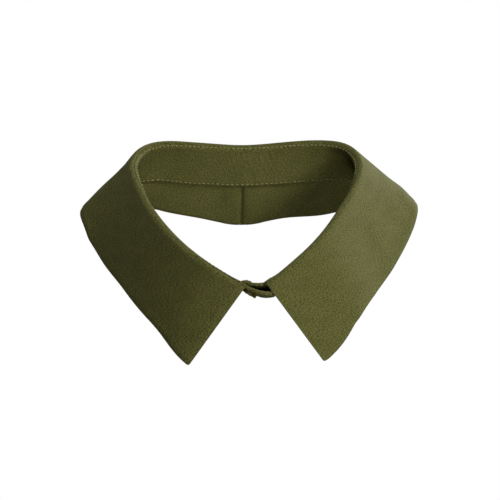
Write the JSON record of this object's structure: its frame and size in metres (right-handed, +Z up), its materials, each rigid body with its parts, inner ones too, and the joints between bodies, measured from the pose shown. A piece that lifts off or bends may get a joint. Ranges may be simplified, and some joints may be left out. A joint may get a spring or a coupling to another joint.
{
  "type": "detachable shirt collar",
  "caption": "Detachable shirt collar in olive cotton twill, buttoned and filled out as round a neck: a stitched neckband, a pointed turn-down collar and a horn-coloured button.",
  "frame": {"origin": "centre of the neck opening, level with the collar's front fold, where a neck holds the collar", "axes": "+X towards the wearer's left, -Y towards the front, +Z up along the neck"},
  "size_m": [0.1999, 0.1358, 0.0801],
  "materials": {
    "cloth": "matt cotton twill",
    "button": "polished, horn-coloured"
  },
  "bodies": {
    "root": {"band_inside": "cloth", "band_outside": "cloth", "upper_collar": "cloth", "under_collar_right": "cloth", "under_collar_left": "cloth", "button": "button"}
  },
  "joints": []
}
